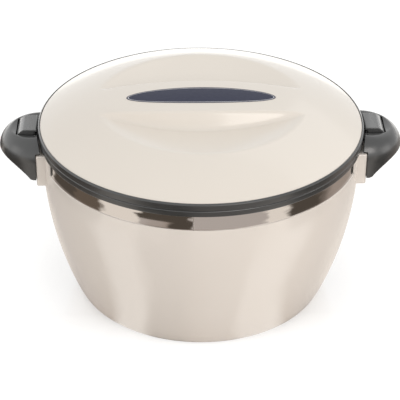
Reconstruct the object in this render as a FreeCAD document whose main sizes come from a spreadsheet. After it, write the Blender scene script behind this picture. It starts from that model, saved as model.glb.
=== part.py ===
import FreeCAD, Part
import math
import os
import Sketcher

# Insulated casserole with a lift-off lid and two rocker latches, in millimetres.
# The origin is the centre of the base on the table, +Z is up and the two handles lie along X.

# Driving dimensions
SIZES = {
    # outer shell: a bowl whose side is one arc, upright at the top
    "body_radius": 132.5,        # at the shell's top edge
    "body_height": 129.0,        # table to the shell's top edge
    "body_curve": 310.0,         # radius of the side's arc
    "base_round": 9.0,           # rounding between side and base
    "shell_wall": 2.4,
    "base_recess": 2.0,          # the base stands on a rim, its middle is higher
    "stand_width": 14.4,         # from the recess's edge out to where side and table would meet
    # what the shell has at each handle
    "pad_proud": 3.2,            # how far the flat mounting face lies outside the body's radius
    "pad_half_width": 34.0,
    "pad_height": 28.0,
    "pad_drop": 3.5,             # from the collar's lip down to the pad's top
    "pad_edge_round": 1.2,
    "shoulder_angle": 20.5,      # half of the arc over which the shell is raised, in degrees
    "shoulder_drop": 2.5,        # from the collar's lip down to the shoulder's top
    # foam filling hole and its plug
    "plug_hole_radius": 15.0,
    "plug_head_width": 5.0,      # how far the plug's head reaches past the hole
    "plug_head_thickness": 1.3,
    # steel trim strip between shell and rim collar
    "band_height": 13.5,
    "band_sheet": 0.6,
    "band_bend": 1.3,
    "band_end_angle": 2.0,       # gap between a strip's end and the raised shoulder, in degrees
    # dark rim collar
    "collar_overhang": 2.1,      # how far the lip reaches past the body's radius
    "collar_lip": 5.4,           # height of the visible lip
    "collar_edge_round": 0.8,
    "collar_bore_gap": 2.5,      # from the bowl's inside out to the ledge's edge
    "collar_web": 2.6,           # thickness of the ledge that carries the bowl
    "collar_skirt": 2.4,
    "collar_skirt_depth": 11.0,  # how far the skirt reaches into the shell
    # steel bowl
    "insulation_width": 18.1,    # between the shell's inside and the bowl's, at the top
    "bowl_depth": 112.0,
    "bowl_corner": 22.0,         # inside corner at the bottom
    "bowl_sheet": 0.8,
    "bowl_flange": 14.0,         # width of the flange, from the bowl's inside
    "bowl_mouth_round": 1.6,
    # lid ring
    "ring_overhang": 0.4,        # how far the ring reaches past the collar
    "ring_height": 6.1,
    "ring_bevel": 1.2,
    "ring_wall": 2.8,
    "ring_web": 2.0,
    "ring_web_drop": 2.0,        # how far the web lies under the ring's top
    "ring_bore_gap": 2.0,        # from the liner's side out to the web's edge
    "ring_top_width": 0.3,       # flat on top of the ring, inside the bevel
    # lid cover: a dome, flat in the middle, with two finger scoops and a grip ridge between them
    "cover_drop": 0.2,           # from the ring's top down to the cover's outer edge
    "crown_curve": 742.0,        # radius of the dome's middle
    "crown_reach": 64.0,         # how far the middle reaches from the centre
    "crown_flat": 5.0,           # radius of the level spot at the dome's centre
    "dome_curve": 183.0,         # radius of the dome's outer part
    "cover_wall": 2.5,
    "scoop_depth": 15.7,         # from the dome's top down to the lowest point of the scoops' surface
    "scoop_curve": 390.0,        # radius of the scoops' surface
    "ridge_half_width": 27.0,    # at mid length, at the dome's top
    "ridge_curve": 390.0,        # radius of the ridge's sides, seen from above
    "ridge_flare": 8.0,          # how much wider the ridge's sides get towards the scoops' bottom
    # badge on the ridge
    "badge_half_length": 61.5,
    "badge_half_width": 13.6,
    "badge_thickness": 1.0,
    "badge_proud": 0.3,
    # under the lid
    "liner_gap": 1.0,            # between the liner's side and the bowl's inside
    "liner_depth": 11.0,         # from the ring's web down
    "liner_corner": 6.0,
    "liner_sheet": 0.6,
    "liner_flange": 13.0,        # width of the flange, from the liner's side
    "gasket_width": 6.0,
    "foam_edge": 1.5,            # height of the lid foam's outer edge
    # side handles: a round cap, open below, cut flat where it meets the pad
    "handle_depth": 31.8,        # from the mounting face out to the handle's outer end
    "handle_radius": 35.2,
    "handle_drop": 3.8,          # from the lid ring's top down to the handle's top
    "handle_dome": 18.0,         # rounding of the cap's top edge
    "handle_wall": 3.0,
    "handle_roof": 4.2,          # thickness of the cap's top
    "dish_depth": 3.8,           # the shallow dish round the latch, under the handle's top
    "dish_curve": 77.7,          # radius of the dish
    "handle_root_wall": 3.6,
    "handle_tip_lift": 6.0,      # from the pad's bottom up to the handle's lowest point
    "handle_tip_length": 3.1,
    "handle_tip_curve": 3.0,     # the tip rounds into the sweep
    "handle_tip_run": 2.3,
    "handle_tip_rise": 1.1,
    "handle_rim_lift": 17.0,     # from the tip up to where the sweep passes the handle's outer end
    "handle_sweep_curve": 45.8,  # radius of the sweep under the rim
    "cheek_gap": 1.0,            # between the handle's cheeks and the lid ring
    # latches
    "latch_half_width": 13.0,
    "latch_proud": 1.9,          # how far a latch stands over the handle's top
    "latch_inner_length": 3.9,   # from the pin in to the latch's inner face
    "latch_outer_length": 10.1,  # from the pin out to the latch's outer side
    "latch_nose_height": 2.2,    # thickness of the nose that reaches over to the lid ring
    "latch_nose_chamfer": 1.2,
    "latch_shoulder": 5.6,       # how far the curved outer side runs back, and down
    "latch_shoulder_curve": 8.96,
    "latch_toe": 1.4,            # how far the outer side's foot runs back, and down
    "latch_edge_round": 0.8,
    "pin_offset": 5.8,           # from the mounting face out to the latch pin
    "pin_depth": 8.9,            # from the latch's top down to the pin
    "pin_radius": 1.5,
    "pin_bite": 2.5,             # how deep the pin's ends sit in the handle
    "barrel_radius": 3.8,
    "recess_side_gap": 0.9,
    "recess_outer_gap": 1.0,
    "recess_floor_gap": 0.6,
    "recess_wall": 2.8,
    # handle screws, driven from inside the shell
    "screw_radius": 1.5,
    "screw_head_radius": 3.0,
    "screw_head_height": 2.0,
    "screw_distance": 22.0,      # from the handle's middle to each screw
    "screw_lift": 15.0,          # from the pad's bottom up to the screws
    "screw_land": 4.1,           # from the face under the screw heads out to the mounting face
    "screw_bite": 8.0,           # how deep a screw reaches into the handle
    "boss_radius": 4.2,
    "boss_end": 1.1,             # what the boss is longer than the screw's bite
    # clearances
    "fit_gap": 0.3,              # between pieces that don't touch
    "running_gap": 0.06,         # radial, round the latch pin
    "press_gap": 0.02,           # radial, where the pin is held
}
HALF_TURN = 180.0                # degrees


class Size:
    """A length with its value and the sheet expression that gives it."""

    def __init__(self, value, text):
        self.value = float(value)
        self.text = text

    def join(self, other, sign, value):
        return Size(value, "(" + self.text + " " + sign + " " + as_size(other).text + ")")

    def __add__(self, other):
        return self.join(other, "+", self.value + as_size(other).value)

    def __sub__(self, other):
        return self.join(other, "-", self.value - as_size(other).value)

    def __mul__(self, other):
        return self.join(other, "*", self.value * as_size(other).value)

    def __truediv__(self, other):
        return self.join(other, "/", self.value / as_size(other).value)

    def __neg__(self):
        return Size(-self.value, "(0 - " + self.text + ")")


def as_size(item):
    if isinstance(item, Size):
        return item
    return Size(item, "(" + repr(float(item)) + ")")


def root(size):
    return Size(math.sqrt(size.value), "sqrt(" + size.text + ")")


def arc_reach(curve, rise):
    """Half chord of a circle of radius curve, at the distance rise from its centre."""
    return root(curve * curve - rise * rise)


doc = FreeCAD.newDocument("casserole")
sheet = doc.addObject("Spreadsheet::Sheet", "Sizes")
for row, (alias, number) in enumerate(SIZES.items(), start=1):
    sheet.set("A%d" % row, alias)
    sheet.set("B%d" % row, str(number))
    sheet.setAlias("B%d" % row, alias)
doc.recompute()
dim = {alias: Size(number, "Sizes." + alias) for alias, number in SIZES.items()}
nodes = {}


def new_body(name):
    body = doc.addObject("PartDesign::Body", name)
    body.Label = name
    nodes[name] = body
    return body


def bind(item, **sizes):
    """Bind properties of a document object to sizes."""
    for prop, size in sizes.items():
        item.setExpression(prop, as_size(size).text)


def place_at(item, x=0.0, y=0.0, z=0.0):
    """Bind a primitive's position to sizes."""
    for path, size in ((".Placement.Base.x", x), (".Placement.Base.y", y), (".Placement.Base.z", z)):
        item.setExpression(path, as_size(size).text)


def origin_plane(body, role):
    return [item for item in body.Origin.OriginFeatures if item.Role == role][0]


def new_sketch(body, name, role, lift=None, shift=None):
    """Sketch on an origin plane of its body, lifted along the plane's normal and shifted along its first axis."""
    sketch = body.newObject("Sketcher::SketchObject", name)
    sketch.AttachmentSupport = [(origin_plane(body, role), "")]
    sketch.MapMode = "FlatFace"
    if lift is not None:
        sketch.setExpression(".AttachmentOffset.Base.z", lift.text)
    if shift is not None:
        sketch.setExpression(".AttachmentOffset.Base.x", shift.text)
    return sketch


def arc_through(start, end, radius):
    """The short arc between two points: a positive radius turns left, a negative one right."""
    first, last = (start, end) if radius > 0 else (end, start)
    along = last - first
    height = math.sqrt(max(radius * radius - along.Length ** 2 / 4, 0.0))
    across = FreeCAD.Vector(-along.y, along.x, 0) / along.Length
    centre = (first + last) / 2 + across * height
    begin = math.atan2(first.y - centre.y, first.x - centre.x)
    finish = math.atan2(last.y - centre.y, last.x - centre.x)
    circle = Part.Circle(centre, FreeCAD.Vector(0, 0, 1), abs(radius))
    return Part.ArcOfCircle(circle, begin, finish)


def draw_outline(sketch, corners):
    """Closed outline. A corner is (across, up), or (across, up, radius) where an arc leaves it."""
    count = len(corners)
    points = [FreeCAD.Vector(as_size(c[0]).value, as_size(c[1]).value, 0) for c in corners]
    sides = []
    starts = []
    ends = []
    for index, corner in enumerate(corners):
        start = points[index]
        end = points[(index + 1) % count]
        if len(corner) == 3:
            turn = as_size(corner[2]).value
            sides.append(arc_through(start, end, turn))
            starts.append(1 if turn > 0 else 2)
            ends.append(2 if turn > 0 else 1)
        else:
            sides.append(Part.LineSegment(start, end))
            starts.append(1)
            ends.append(2)
    sketch.addGeometry(sides, False)
    rules = []
    bound = []
    for index, corner in enumerate(corners):
        before = (index - 1) % count
        rules.append(Sketcher.Constraint("Coincident", before, ends[before], index, starts[index]))
        for kind, size in (("DistanceX", as_size(corner[0])), ("DistanceY", as_size(corner[1]))):
            if abs(size.value) < 1e-9:
                axis = -2 if kind == "DistanceX" else -1
                rules.append(Sketcher.Constraint("PointOnObject", index, starts[index], axis))
            else:
                bound.append((len(rules), size))
                rules.append(Sketcher.Constraint(kind, -1, 1, index, starts[index], size.value))
        if len(corner) == 3:
            radius = as_size(corner[2])
            if radius.value < 0:
                radius = -radius
            bound.append((len(rules), radius))
            rules.append(Sketcher.Constraint("Radius", index, radius.value))
    sketch.addConstraint(rules)
    for index, size in bound:
        sketch.setExpression("Constraints[%d]" % index, size.text)


def draw_circles(sketch, circles):
    """Circles given as (across, up, radius)."""
    for across, up, radius in circles:
        across, up, radius = as_size(across), as_size(up), as_size(radius)
        centre = FreeCAD.Vector(across.value, up.value, 0)
        index = sketch.addGeometry(Part.Circle(centre, FreeCAD.Vector(0, 0, 1), radius.value), False)
        for kind, size in (("DistanceX", across), ("DistanceY", up)):
            if abs(size.value) < 1e-9:
                sketch.addConstraint(Sketcher.Constraint("PointOnObject", index, 3, -2 if kind == "DistanceX" else -1))
            else:
                rule = sketch.addConstraint(Sketcher.Constraint(kind, -1, 1, index, 3, size.value))
                sketch.setExpression("Constraints[%d]" % rule, size.text)
        rule = sketch.addConstraint(Sketcher.Constraint("Radius", index, radius.value))
        sketch.setExpression("Constraints[%d]" % rule, radius.text)


def turned(body, name, corners, kind="PartDesign::Revolution", plane="XZ_Plane", angle=None):
    """Profile turned about Z: a full turn, or an angle that straddles its plane."""
    sketch = new_sketch(body, name + "_profile", plane)
    draw_outline(sketch, corners)
    feature = body.newObject(kind, name)
    feature.Profile = sketch
    feature.ReferenceAxis = (sketch, ["V_Axis"])
    feature.Angle = 360
    if angle is not None:
        feature.Midplane = True
        feature.setExpression("Angle", angle.text)
    sketch.Visibility = False
    return feature


def extruded(body, name, sketch, length, kind="PartDesign::Pad", both_ways=False, reverse=False):
    feature = body.newObject(kind, name)
    feature.Profile = sketch
    feature.setExpression("Length", length.text)
    feature.Midplane = both_ways
    feature.Reversed = reverse
    sketch.Visibility = False
    return feature


def mirrored(body, name, originals):
    """Mirror features to the other side of the YZ plane."""
    feature = body.newObject("PartDesign::Mirrored", name)
    feature.Originals = originals
    feature.MirrorPlane = (origin_plane(body, "YZ_Plane"), [""])
    body.Tip = feature
    return feature


def rounded(body, name, base, test, radius):
    """Fillet the base feature's edges that pass the test."""
    doc.recompute()
    found = ["Edge%d" % (i + 1) for i, edge in enumerate(base.Shape.Edges) if test(edge)]
    feature = body.newObject("PartDesign::Fillet", name)
    feature.Base = (base, found)
    feature.setExpression("Radius", radius.text)
    return feature


def is_ring(edge, radius, level):
    """Whether an edge is a circle about Z of this radius, at this height."""
    if not isinstance(edge.Curve, Part.Circle):
        return False
    centre = edge.Curve.Center
    return (abs(edge.Curve.Radius - radius) < 0.01 and abs(centre.z - level) < 0.01
            and math.hypot(centre.x, centre.y) < 0.01)


def primitive(kind, name, x=0.0, y=0.0, z=0.0, **sizes):
    item = doc.addObject(kind, name)
    bind(item, **sizes)
    place_at(item, x, y, z)
    return item


def block(name, x_span, y_span, z_span):
    """Box between two sizes along each axis."""
    return primitive("Part::Box", name, x_span[0], y_span[0], z_span[0], Length=as_size(x_span[1]) - x_span[0],
                     Width=as_size(y_span[1]) - y_span[0], Height=as_size(z_span[1]) - z_span[0])


def cut(name, base, tool):
    item = doc.addObject("Part::Cut", name)
    item.Base = base
    item.Tool = tool
    return item


def common(name, base, tool):
    item = doc.addObject("Part::Common", name)
    item.Base = base
    item.Tool = tool
    return item


def fused(name, shapes):
    item = doc.addObject("Part::MultiFuse", name)
    item.Shapes = shapes
    return item


def turn_half(item):
    """Turn a finished piece half way round Z, to the other handle."""
    item.Placement = FreeCAD.Placement(FreeCAD.Vector(), FreeCAD.Rotation(FreeCAD.Vector(0, 0, 1), 180))


# Heights and radii that follow from the driving dimensions
side_centre = dim["body_radius"] - dim["body_curve"]
floor_top = dim["base_recess"] + dim["shell_wall"]
shell_inner_radius = dim["body_radius"] - dim["shell_wall"]
plug_head_radius = dim["plug_hole_radius"] + dim["plug_head_width"]
collar_radius = dim["body_radius"] + dim["collar_overhang"]
collar_bottom = dim["body_height"] + dim["band_height"]
collar_top = collar_bottom + dim["collar_lip"]
bowl_radius = shell_inner_radius - dim["insulation_width"]
bowl_flange_radius = bowl_radius + dim["bowl_flange"]
collar_inner_radius = bowl_radius + dim["collar_bore_gap"]
liner_radius = bowl_radius - dim["liner_gap"]
ring_radius = collar_radius + dim["ring_overhang"]
ring_inner_radius = liner_radius + dim["ring_bore_gap"]
ring_bottom = collar_top + dim["fit_gap"]
ring_top = ring_bottom + dim["ring_height"]
web_top = ring_top - dim["ring_web_drop"]
web_bottom = web_top - dim["ring_web"]
cover_radius = ring_radius - dim["ring_bevel"] - dim["ring_top_width"] - dim["fit_gap"]
crown_rise = arc_reach(dim["crown_curve"], dim["crown_reach"])
curve_share = dim["dome_curve"] / dim["crown_curve"]
bend_centre_radius = dim["crown_reach"] - dim["crown_reach"] * curve_share
bend_rise = arc_reach(dim["dome_curve"], cover_radius - bend_centre_radius)
bend_centre = ring_top - dim["cover_drop"] - bend_rise
crown_centre = bend_centre - (crown_rise - crown_rise * curve_share)
dome_top = crown_centre + dim["crown_curve"]
scoop_bottom = dome_top - dim["scoop_depth"]
pad_reach = dim["body_radius"] + dim["pad_proud"]
pad_root = arc_reach(shell_inner_radius, dim["pad_half_width"]) - dim["shell_wall"]
pad_top = collar_bottom - dim["pad_drop"]
pad_bottom = pad_top - dim["pad_height"]
shoulder_top = collar_bottom - dim["shoulder_drop"]
handle_face = pad_reach + dim["fit_gap"] / 2
handle_reach = pad_reach + dim["handle_depth"]
handle_axis = handle_reach - dim["handle_radius"]
handle_top = ring_top - dim["handle_drop"]
handle_tip = pad_bottom + dim["handle_tip_lift"]
handle_rim = handle_tip + dim["handle_rim_lift"]
cheek_radius = ring_radius + dim["cheek_gap"]
cheek_bottom = shoulder_top + dim["fit_gap"]
latch_top = handle_top + dim["latch_proud"]
pin_reach = pad_reach + dim["pin_offset"]
pin_height = latch_top - dim["pin_depth"]
latch_inner = pin_reach - dim["latch_inner_length"]
latch_outer = pin_reach + dim["latch_outer_length"]
recess_side = dim["latch_half_width"] + dim["recess_side_gap"]
pin_half_length = recess_side + dim["pin_bite"]
screw_level = pad_bottom + dim["screw_lift"]
screw_seat = pad_reach - dim["screw_land"]


def shell_side(level, inset):
    """Radius of the shell's side at a height, moved inwards by inset."""
    return side_centre + arc_reach(dim["body_curve"] - inset, dim["body_height"] - level)


def outer_shell():
    body = new_body("outer_shell")
    foot = shell_side(as_size(0.0), as_size(0.0))
    stand_inside = foot - dim["stand_width"]
    turned(body, "shell_solid", [
        (0.0, dim["base_recess"]),
        (stand_inside - dim["base_recess"], dim["base_recess"]),
        (stand_inside, 0.0),
        (foot, 0.0, dim["body_curve"]),
        (dim["body_radius"], dim["body_height"]),
        (0.0, dim["body_height"]),
    ])
    rounded(body, "base_rounding", body.Tip, lambda edge: is_ring(edge, foot.value, 0.0), dim["base_round"])
    sketch = new_sketch(body, "pad_outline", "YZ_Plane", lift=pad_root)
    draw_outline(sketch, [
        (-dim["pad_half_width"], pad_bottom),
        (dim["pad_half_width"], pad_bottom),
        (dim["pad_half_width"], pad_top),
        (-dim["pad_half_width"], pad_top),
    ])
    pad = extruded(body, "handle_pad", sketch, pad_reach - pad_root)
    shoulder = turned(body, "shoulder", [
        (shell_inner_radius - dim["shell_wall"], dim["body_height"]),
        (dim["body_radius"], dim["body_height"]),
        (dim["body_radius"], shoulder_top),
        (shell_inner_radius - dim["shell_wall"], shoulder_top),
    ], angle=dim["shoulder_angle"] * 2)
    sketch = new_sketch(body, "screw_hole_outline", "YZ_Plane", lift=pad_reach)
    hole = dim["screw_radius"] + dim["fit_gap"]
    draw_circles(sketch, [(-dim["screw_distance"], screw_level, hole), (dim["screw_distance"], screw_level, hole)])
    holes = extruded(body, "screw_holes", sketch, pad_reach - pad_root, kind="PartDesign::Pocket")
    sketch = new_sketch(body, "screw_seat_outline", "YZ_Plane", lift=screw_seat)
    seat = dim["screw_head_radius"] + dim["fit_gap"]
    draw_circles(sketch, [(-dim["screw_distance"], screw_level, seat), (dim["screw_distance"], screw_level, seat)])
    seats = extruded(body, "screw_seats", sketch, screw_seat - pad_root, kind="PartDesign::Pocket")
    mirrored(body, "other_handle", [pad, shoulder, holes, seats])
    turned(body, "hollow", [
        (0.0, floor_top),
        (shell_side(floor_top, dim["shell_wall"]), floor_top, dim["body_curve"] - dim["shell_wall"]),
        (shell_inner_radius, dim["body_height"]),
        (shell_inner_radius, collar_top),
        (0.0, collar_top),
    ], kind="PartDesign::Groove")
    sketch = new_sketch(body, "plug_hole_outline", "XY_Plane", lift=floor_top)
    draw_circles(sketch, [(0.0, 0.0, dim["plug_hole_radius"])])
    extruded(body, "plug_hole", sketch, floor_top, kind="PartDesign::Pocket")
    rounded(body, "pad_rounding", body.Tip, lambda edge: is_pad_edge(edge, pad_reach.value), dim["pad_edge_round"])


def is_pad_edge(edge, reach):
    """Whether an edge is a straight side of the flat mounting face."""
    if not isinstance(edge.Curve, Part.Line):
        return False
    return all(abs(abs(vertex.Point.x) - reach) < 0.01 for vertex in edge.Vertexes) and len(edge.Vertexes) == 2


def base_plug():
    body = new_body("base_plug")
    shank = dim["plug_hole_radius"] - dim["fit_gap"]
    under = dim["base_recess"] - dim["plug_head_thickness"]
    turned(body, "plug", [
        (0.0, under),
        (plug_head_radius, under),
        (plug_head_radius, dim["base_recess"]),
        (shank, dim["base_recess"]),
        (shank, floor_top),
        (0.0, floor_top),
    ])


def inner_bowl():
    body = new_body("inner_bowl")
    top = collar_top
    under = top - dim["bowl_sheet"]
    floor = top - dim["bowl_depth"]
    outside = bowl_radius + dim["bowl_sheet"]
    outer_corner = dim["bowl_corner"] + dim["bowl_sheet"]
    mouth = dim["bowl_mouth_round"]
    turned(body, "bowl", [
        (0.0, floor - dim["bowl_sheet"]),
        (outside - outer_corner, floor - dim["bowl_sheet"], outer_corner),
        (outside, floor + dim["bowl_corner"]),
        (outside, top - mouth, -(mouth - dim["bowl_sheet"])),
        (bowl_radius + mouth, under),
        (bowl_flange_radius, under),
        (bowl_flange_radius, top),
        (bowl_radius + mouth, top, mouth),
        (bowl_radius, top - mouth),
        (bowl_radius, floor + dim["bowl_corner"], -dim["bowl_corner"]),
        (bowl_radius - dim["bowl_corner"], floor),
        (0.0, floor),
    ])


def rim_collar():
    body = new_body("rim_collar")
    ledge = collar_top - dim["bowl_sheet"]
    web = ledge - dim["collar_web"]
    skirt_outer = shell_inner_radius - dim["fit_gap"]
    skirt_inner = skirt_outer - dim["collar_skirt"]
    skirt_bottom = dim["body_height"] - dim["collar_skirt_depth"]
    recess = bowl_flange_radius + dim["fit_gap"]
    collar = turned(body, "collar", [
        (collar_inner_radius, web),
        (skirt_inner, web),
        (skirt_inner, skirt_bottom),
        (skirt_outer, skirt_bottom),
        (skirt_outer, collar_bottom),
        (collar_radius, collar_bottom),
        (collar_radius, collar_top),
        (recess, collar_top),
        (recess, ledge),
        (collar_inner_radius, ledge),
    ])
    levels = (collar_bottom.value, collar_top.value)
    rounded(body, "lip_rounding", collar,
            lambda edge: any(is_ring(edge, collar_radius.value, level) for level in levels), dim["collar_edge_round"])


def steel_band(name, turn):
    body = new_body(name)
    low = dim["body_height"]
    high = collar_bottom
    face = dim["body_radius"]
    bend = dim["band_bend"]
    sheet_metal = dim["band_sheet"]
    inner_bend = bend - sheet_metal
    edge = shell_inner_radius
    sweep = as_size(HALF_TURN) - (dim["shoulder_angle"] + dim["band_end_angle"]) * 2
    turned(body, "strip", [
        (edge, low),
        (face - bend, low, bend),
        (face, low + bend),
        (face, high - bend, bend),
        (face - bend, high),
        (edge, high),
        (edge, high - sheet_metal),
        (face - bend, high - sheet_metal, -inner_bend),
        (face - sheet_metal, high - bend),
        (face - sheet_metal, low + bend, -inner_bend),
        (face - bend, low + sheet_metal),
        (edge, low + sheet_metal),
    ], plane="YZ_Plane", angle=sweep)
    if turn:
        turn_half(body)


def body_insulation():
    body = new_body("body_insulation")
    gap = dim["fit_gap"]
    low = floor_top + gap
    high = dim["body_height"] - dim["collar_skirt_depth"] - gap
    inset = dim["shell_wall"] + gap
    bowl_side = bowl_radius + dim["bowl_sheet"] + gap
    corner = dim["bowl_corner"] + dim["bowl_sheet"] + gap
    bowl_under = collar_top - dim["bowl_depth"] - dim["bowl_sheet"] - gap
    turned(body, "foam", [
        (0.0, low),
        (shell_side(low, inset), low, dim["body_curve"] - inset),
        (shell_side(high, inset), high),
        (bowl_side, high),
        (bowl_side, bowl_under + corner, -corner),
        (bowl_side - corner, bowl_under),
        (0.0, bowl_under),
    ])


def lid_ring():
    body = new_body("lid_ring")
    seat = cover_radius + dim["fit_gap"]
    turned(body, "ring", [
        (ring_inner_radius, web_bottom),
        (ring_radius - dim["ring_wall"], web_bottom),
        (ring_radius - dim["ring_wall"], ring_bottom),
        (ring_radius, ring_bottom),
        (ring_radius, ring_top - dim["ring_bevel"]),
        (ring_radius - dim["ring_bevel"], ring_top),
        (seat, ring_top),
        (seat, web_top),
        (ring_inner_radius, web_top),
    ])


def lid_liner():
    body = new_body("lid_liner")
    sheet_metal = dim["liner_sheet"]
    outside = liner_radius
    flange = liner_radius + dim["liner_flange"]
    low = web_bottom - dim["liner_depth"]
    corner = dim["liner_corner"]
    inner_corner = corner - sheet_metal
    turned(body, "pan", [
        (0.0, low),
        (outside - corner, low, corner),
        (outside, low + corner),
        (outside, web_bottom - sheet_metal),
        (flange, web_bottom - sheet_metal),
        (flange, web_bottom),
        (outside - sheet_metal, web_bottom),
        (outside - sheet_metal, low + corner, -inner_corner),
        (outside - corner, low + sheet_metal),
        (0.0, low + sheet_metal),
    ])


def lid_gasket():
    body = new_body("lid_gasket")
    top = web_bottom - dim["liner_sheet"]
    low = collar_top + dim["fit_gap"]
    inner = bowl_radius + dim["bowl_mouth_round"]
    outer = inner + dim["gasket_width"]
    lip = (top - low) / 2
    turned(body, "seal", [
        (inner + lip, low),
        (outer - lip, low, lip),
        (outer, low + lip),
        (outer, top),
        (inner, top),
        (inner, low + lip, lip),
    ])


def lid_insulation():
    body = new_body("lid_insulation")
    gap = dim["fit_gap"]
    pan_side = liner_radius - dim["liner_sheet"] - gap
    pan_floor = web_bottom - dim["liner_depth"] + dim["liner_sheet"] + gap
    corner = dim["liner_corner"]
    neck = ring_inner_radius - gap
    under_dome = dim["dome_curve"] - dim["cover_wall"] - gap
    top = scoop_bottom - dim["cover_wall"] - gap
    edge_top = web_top + gap + dim["foam_edge"]
    edge = bend_centre_radius + arc_reach(under_dome, edge_top - bend_centre)
    turned(body, "foam", [
        (0.0, pan_floor),
        (pan_side - corner, pan_floor, corner),
        (pan_side, pan_floor + corner),
        (pan_side, web_top + gap),
        (neck, web_top + gap),
        (edge, web_top + gap),
        (edge, edge_top, under_dome),
        (bend_centre_radius + arc_reach(under_dome, top - bend_centre), top),
        (0.0, top),
    ])


def ball(name, level, radius, x=0.0):
    """Sphere over or under the XY plane, tilted about X so that its poles and seam stay off the face that is used."""
    item = primitive("Part::Sphere", name, x=x, z=level, Radius=radius)
    item.Placement.Rotation = FreeCAD.Rotation(FreeCAD.Vector(1, 0, 0), 90)
    return item


def ridge_between(name, inset, low, high):
    """Grip ridge: two upright cones that face each other, each side moved inwards by inset."""
    rise = high - low
    slope = dim["ridge_flare"] / (dome_top - scoop_bottom)
    top_radius = dim["ridge_curve"] - slope * (high - dome_top) - inset
    bottom_radius = dim["ridge_curve"] + slope * (dome_top - low) - inset
    offset = dim["ridge_curve"] - dim["ridge_half_width"]
    front = primitive("Part::Cone", name + "_front", 0.0, offset, low, Radius1=bottom_radius, Radius2=top_radius,
                      Height=rise)
    rear = primitive("Part::Cone", name + "_rear", 0.0, -offset, low, Radius1=bottom_radius, Radius2=top_radius,
                     Height=rise)
    return common(name, front, rear)


def knee(inset):
    """Radius and height at which the dome's middle and its outer part meet, moved inwards by inset."""
    share = (dim["crown_curve"] - inset) / dim["crown_curve"]
    return dim["crown_reach"] * share, crown_centre + crown_rise * share


def domed(name, radius, inset):
    """Dome with scoops and ridge, every surface moved inwards by inset."""
    scoop_centre = scoop_bottom + dim["scoop_curve"]
    knee_radius, knee_level = knee(inset)
    bend = dim["dome_curve"] - inset
    flat_level = crown_centre + arc_reach(dim["crown_curve"] - inset, dim["crown_flat"])
    sketch = doc.addObject("Sketcher::SketchObject", name + "_profile")
    sketch.Placement = FreeCAD.Placement(FreeCAD.Vector(), FreeCAD.Rotation(FreeCAD.Vector(1, 0, 0), 90))
    draw_outline(sketch, [
        (0.0, web_top),
        (radius, web_top),
        (radius, bend_centre + arc_reach(bend, radius - bend_centre_radius), bend),
        (knee_radius, knee_level, dim["crown_curve"] - inset),
        (dim["crown_flat"], flat_level),
        (0.0, flat_level),
    ])
    cap = doc.addObject("Part::Revolution", name + "_cap")
    cap.Source = sketch
    cap.Axis = FreeCAD.Vector(0, 0, 1)
    cap.Solid = True
    scoops = ball(name + "_scoop_sphere", scoop_centre, dim["scoop_curve"] + inset)
    low = scoop_bottom - dim["cover_wall"] * 4
    high = dome_top + dim["cover_wall"] * 2
    ridge = ridge_between(name + "_ridge", inset, low, high)
    return cut(name, cap, cut(name + "_scoops", scoops, ridge))


def badge_column(name, half_length, half_width, under):
    """Oval column over the dome, its bottom parallel to the dome at the depth under."""
    oval = primitive("Part::Ellipse", name + "_oval", z=scoop_bottom, MajorRadius=half_length, MinorRadius=half_width)
    column = doc.addObject("Part::Extrusion", name + "_column")
    column.Base = oval
    column.DirMode = "Custom"
    column.Dir = FreeCAD.Vector(0, 0, 1)
    column.Solid = True
    bind(column, LengthFwd=dome_top - scoop_bottom + dim["cover_wall"])
    return cut(name, column, ball(name + "_under", crown_centre, dim["crown_curve"] - under))


def lid_cover():
    gap = dim["fit_gap"] / 2
    depth = dim["badge_thickness"] - dim["badge_proud"]
    pocket = badge_column("badge_pocket", dim["badge_half_length"] + gap, dim["badge_half_width"] + gap, depth)
    outside = cut("cover_outside", domed("cover_dome", cover_radius, as_size(0.0)), pocket)
    inside = domed("cover_inside", cover_radius - dim["cover_wall"], dim["cover_wall"])
    nodes["lid_cover"] = cut("lid_cover", outside, inside)


def badge_plate():
    depth = dim["badge_thickness"] - dim["badge_proud"]
    column = badge_column("badge_blank", dim["badge_half_length"], dim["badge_half_width"], depth)
    face = ball("badge_face", crown_centre, dim["crown_curve"] + dim["badge_proud"])
    nodes["badge_plate"] = common("badge_plate", column, face)


def capped(name, radius, top, dome, low):
    """Round cap about the handle's axis with a rounded top edge."""
    post = primitive("Part::Cylinder", name + "_post", handle_axis, 0.0, low, Radius=radius, Height=top - low)
    doc.recompute()
    level = top.value
    edges = [i + 1 for i, edge in enumerate(post.Shape.Edges)
             if isinstance(edge.Curve, Part.Circle) and abs(edge.Curve.Center.z - level) < 0.01]
    cap = doc.addObject("Part::Fillet", name)
    cap.Base = post
    cap.Edges = [(index, dome.value, dome.value) for index in edges]
    return cap


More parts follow.
